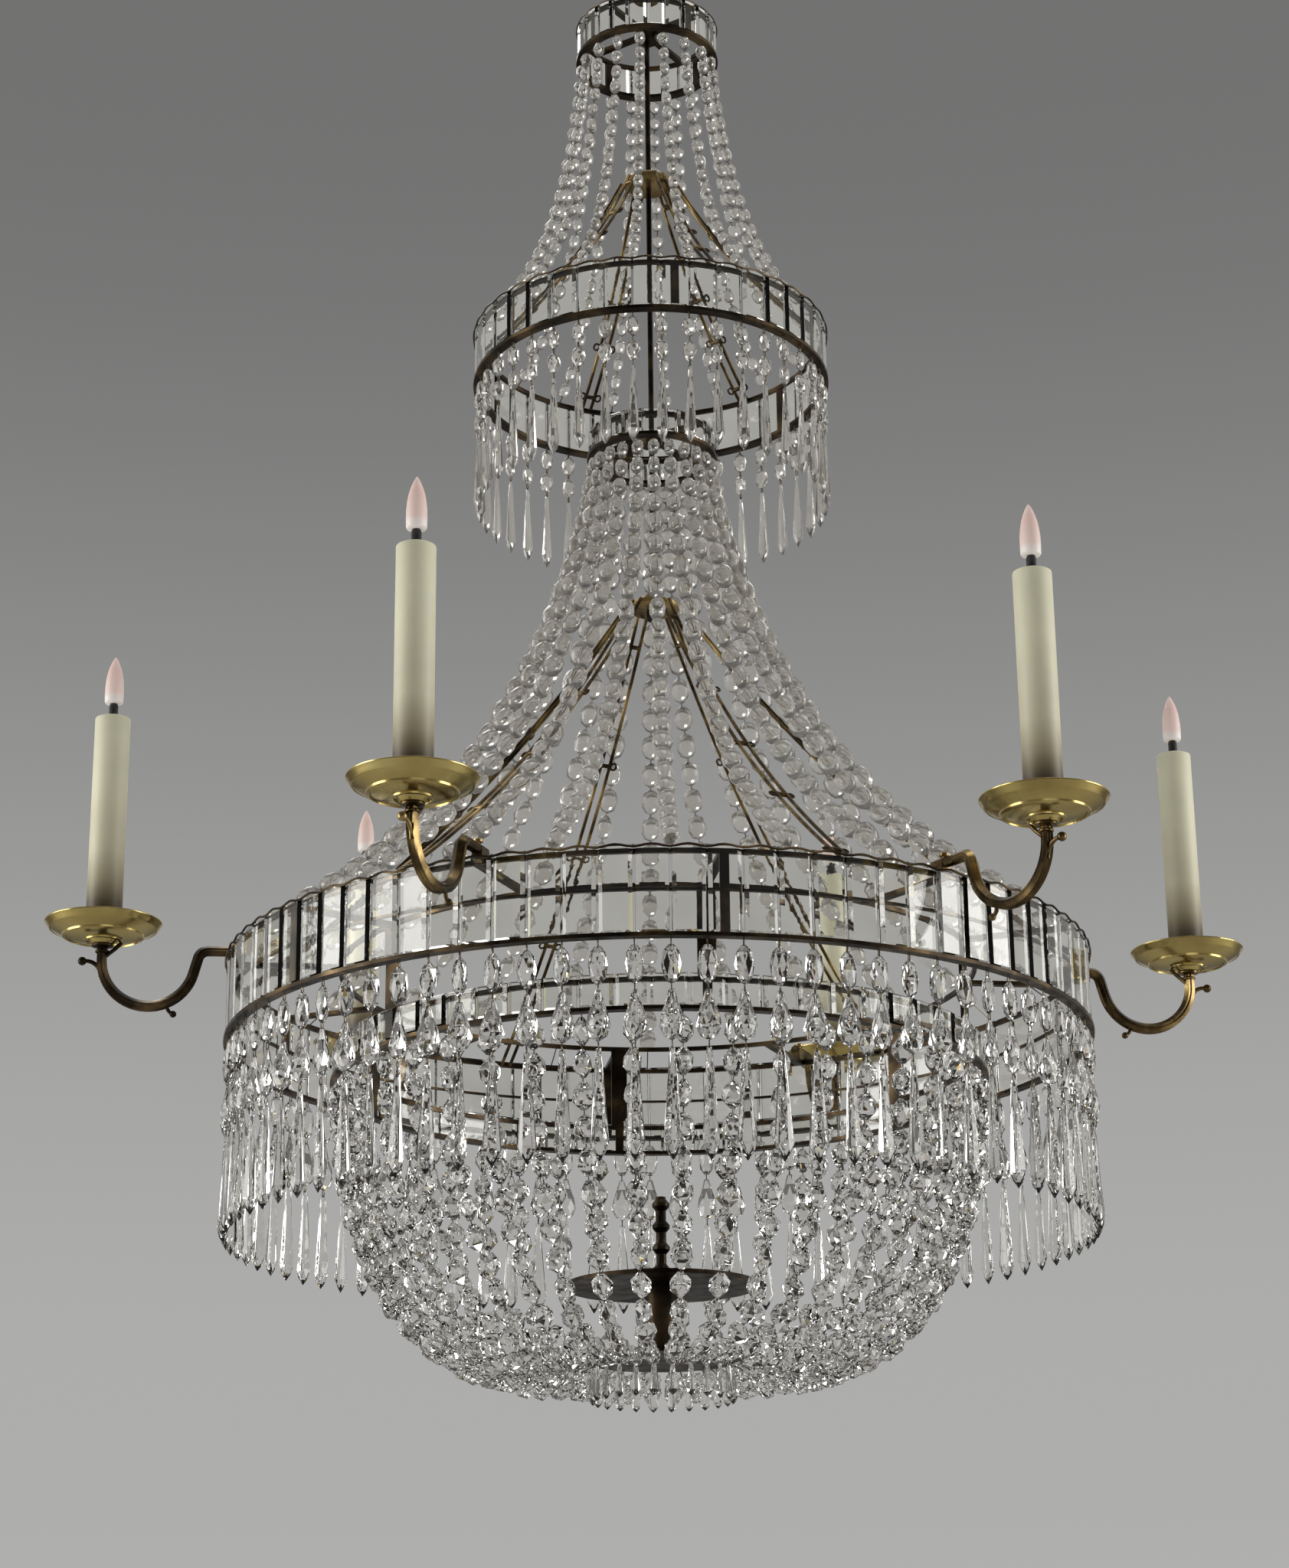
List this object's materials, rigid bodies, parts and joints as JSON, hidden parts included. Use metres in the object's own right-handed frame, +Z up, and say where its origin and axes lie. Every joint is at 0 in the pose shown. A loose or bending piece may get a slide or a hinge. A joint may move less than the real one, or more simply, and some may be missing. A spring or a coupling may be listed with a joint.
{
  "type": "crystal chandelier",
  "caption": "Tent-and-bowl crystal chandelier: plated rings, draped bead strings, hanging drops and a ring of candle arms, hung from an eye.",
  "frame": {"origin": "centre of the hole in the suspension eye", "axes": "+Z up along the chandelier's axis; the pictured front looks along -Y; +Y is the axis of the eye's hole"},
  "size_m": [0.8504, 0.8012, 1.1753],
  "materials": {
    "dark_bronze": "satin",
    "aged_brass": "satin",
    "crystal": "polished",
    "candle_tube": "satin",
    "flame_glass": "frosted"
  },
  "bodies": {
    "hanger": {"suspension_eye": "aged_brass"},
    "frame": {"swivel_socket": "aged_brass", "stem": "aged_brass", "top_crown_frame": "dark_bronze", "top_crown_plates": "crystal", "upper_strands": "crystal", "upper_hub": "aged_brass", "upper_spider": "dark_bronze", "mid_ring_frame": "dark_bronze", "mid_ring_plates": "crystal", "inner_crown_frame": "dark_bronze", "inner_crown_plates": "crystal", "tent_strands": "crystal", "lower_hub": "aged_brass", "lower_spider": "dark_bronze", "main_ring_frame": "dark_bronze", "main_ring_plates": "crystal", "inner_hoop": "dark_bronze", "bowl_ring_frame": "dark_bronze", "bowl_ring_plates": "crystal", "bowl_strands": "crystal", "bottom_plate": "dark_bronze", "bottom_spears": "crystal", "candle_arm_1": "aged_brass", "candle_arm_2": "aged_brass", "candle_arm_3": "aged_brass", "candle_arm_4": "aged_brass", "candle_arm_5": "aged_brass", "candle_arm_6": "aged_brass", "drip_pans": "aged_brass", "arm_screws": "aged_brass"},
    "candle_1": {"candle_sleeve_1": "candle_tube", "flame_bulb_1": "flame_glass"},
    "candle_2": {"candle_sleeve_2": "candle_tube", "flame_bulb_2": "flame_glass"},
    "candle_3": {"candle_sleeve_3": "candle_tube", "flame_bulb_3": "flame_glass"},
    "candle_4": {"candle_sleeve_4": "candle_tube", "flame_bulb_4": "flame_glass"},
    "candle_5": {"candle_sleeve_5": "candle_tube", "flame_bulb_5": "flame_glass"},
    "candle_6": {"candle_sleeve_6": "candle_tube", "flame_bulb_6": "flame_glass"},
    "main_fringe_1": {"main_fringe_1": "crystal"},
    "main_fringe_2": {"main_fringe_2": "crystal"},
    "main_fringe_3": {"main_fringe_3": "crystal"},
    "main_fringe_4": {"main_fringe_4": "crystal"},
    "main_fringe_5": {"main_fringe_5": "crystal"},
    "main_fringe_6": {"main_fringe_6": "crystal"},
    "main_fringe_7": {"main_fringe_7": "crystal"},
    "main_fringe_8": {"main_fringe_8": "crystal"},
    "main_fringe_9": {"main_fringe_9": "crystal"},
    "main_fringe_10": {"main_fringe_10": "crystal"},
    "main_fringe_11": {"main_fringe_11": "crystal"},
    "main_fringe_12": {"main_fringe_12": "crystal"},
    "mid_fringe_1": {"mid_fringe_1": "crystal"},
    "mid_fringe_2": {"mid_fringe_2": "crystal"},
    "mid_fringe_3": {"mid_fringe_3": "crystal"},
    "mid_fringe_4": {"mid_fringe_4": "crystal"},
    "mid_fringe_5": {"mid_fringe_5": "crystal"}
  },
  "joints": [
    {"name": "swivel", "type": "hinge", "parent": "hanger", "child": "frame", "pos_m": [0, 0, -0.04], "axis": [0, 0, 1], "continuous": true},
    {"name": "candle_lift_1", "type": "slide", "parent": "frame", "child": "candle_1", "axis": [0, 0, 1], "range_m": [0, 0.04]},
    {"name": "candle_lift_2", "type": "slide", "parent": "frame", "child": "candle_2", "axis": [0, 0, 1], "range_m": [0, 0.04]},
    {"name": "candle_lift_3", "type": "slide", "parent": "frame", "child": "candle_3", "axis": [0, 0, 1], "range_m": [0, 0.04]},
    {"name": "candle_lift_4", "type": "slide", "parent": "frame", "child": "candle_4", "axis": [0, 0, 1], "range_m": [0, 0.04]},
    {"name": "candle_lift_5", "type": "slide", "parent": "frame", "child": "candle_5", "axis": [0, 0, 1], "range_m": [0, 0.04]},
    {"name": "candle_lift_6", "type": "slide", "parent": "frame", "child": "candle_6", "axis": [0, 0, 1], "range_m": [0, 0.04]},
    {"name": "main_fringe_swing_1", "type": "hinge", "parent": "frame", "child": "main_fringe_1", "pos_m": [-0.27216, -0.11553, -0.9163], "axis": [0.3907, -0.9205, 0], "range_deg": [-4, 4]},
    {"name": "main_fringe_swing_2", "type": "hinge", "parent": "frame", "child": "main_fringe_2", "pos_m": [-0.17794, -0.23613, -0.9163], "axis": [0.7986, -0.6018, 0], "range_deg": [-4, 4]},
    {"name": "main_fringe_swing_3", "type": "hinge", "parent": "frame", "child": "main_fringe_3", "pos_m": [-0.03603, -0.29346, -0.9163], "axis": [0.9925, -0.1219, 0], "range_deg": [-4, 4]},
    {"name": "main_fringe_swing_4", "type": "hinge", "parent": "frame", "child": "main_fringe_4", "pos_m": [0.11553, -0.27216, -0.9163], "axis": [0.9205, 0.3907, 0], "range_deg": [-4, 4]},
    {"name": "main_fringe_swing_5", "type": "hinge", "parent": "frame", "child": "main_fringe_5", "pos_m": [0.23613, -0.17794, -0.9163], "axis": [0.6018, 0.7986, 0], "range_deg": [-4, 4]},
    {"name": "main_fringe_swing_6", "type": "hinge", "parent": "frame", "child": "main_fringe_6", "pos_m": [0.29346, -0.03603, -0.9163], "axis": [0.1219, 0.9925, 0], "range_deg": [-4, 4]},
    {"name": "main_fringe_swing_7", "type": "hinge", "parent": "frame", "child": "main_fringe_7", "pos_m": [0.27216, 0.11553, -0.9163], "axis": [-0.3907, 0.9205, 0], "range_deg": [-4, 4]},
    {"name": "main_fringe_swing_8", "type": "hinge", "parent": "frame", "child": "main_fringe_8", "pos_m": [0.17794, 0.23613, -0.9163], "axis": [-0.7986, 0.6018, 0], "range_deg": [-4, 4]},
    {"name": "main_fringe_swing_9", "type": "hinge", "parent": "frame", "child": "main_fringe_9", "pos_m": [0.03603, 0.29346, -0.9163], "axis": [-0.9925, 0.1219, 0], "range_deg": [-4, 4]},
    {"name": "main_fringe_swing_10", "type": "hinge", "parent": "frame", "child": "main_fringe_10", "pos_m": [-0.11553, 0.27216, -0.9163], "axis": [-0.9205, -0.3907, 0], "range_deg": [-4, 4]},
    {"name": "main_fringe_swing_11", "type": "hinge", "parent": "frame", "child": "main_fringe_11", "pos_m": [-0.23613, 0.17794, -0.9163], "axis": [-0.6018, -0.7986, 0], "range_deg": [-4, 4]},
    {"name": "main_fringe_swing_12", "type": "hinge", "parent": "frame", "child": "main_fringe_12", "pos_m": [-0.29346, 0.03603, -0.9163], "axis": [-0.1219, -0.9925, 0], "range_deg": [-4, 4]},
    {"name": "mid_fringe_swing_1", "type": "hinge", "parent": "frame", "child": "mid_fringe_1", "pos_m": [-0.08723, -0.08424, -0.4033], "axis": [0.6947, -0.7193, 0], "range_deg": [-3, 3]},
    {"name": "mid_fringe_swing_2", "type": "hinge", "parent": "frame", "child": "mid_fringe_2", "pos_m": [0.05316, -0.109, -0.4033], "axis": [0.8988, 0.4384, 0], "range_deg": [-3, 3]},
    {"name": "mid_fringe_swing_3", "type": "hinge", "parent": "frame", "child": "mid_fringe_3", "pos_m": [0.12009, 0.01688, -0.4033], "axis": [-0.1392, 0.9903, 0], "range_deg": [-3, 3]},
    {"name": "mid_fringe_swing_4", "type": "hinge", "parent": "frame", "child": "mid_fringe_4", "pos_m": [0.02106, 0.11943, -0.4033], "axis": [-0.9848, 0.1736, 0], "range_deg": [-3, 3]},
    {"name": "mid_fringe_swing_5", "type": "hinge", "parent": "frame", "child": "mid_fringe_5", "pos_m": [-0.10708, 0.05693, -0.4033], "axis": [-0.4695, -0.8829, 0], "range_deg": [-3, 3]}
  ]
}
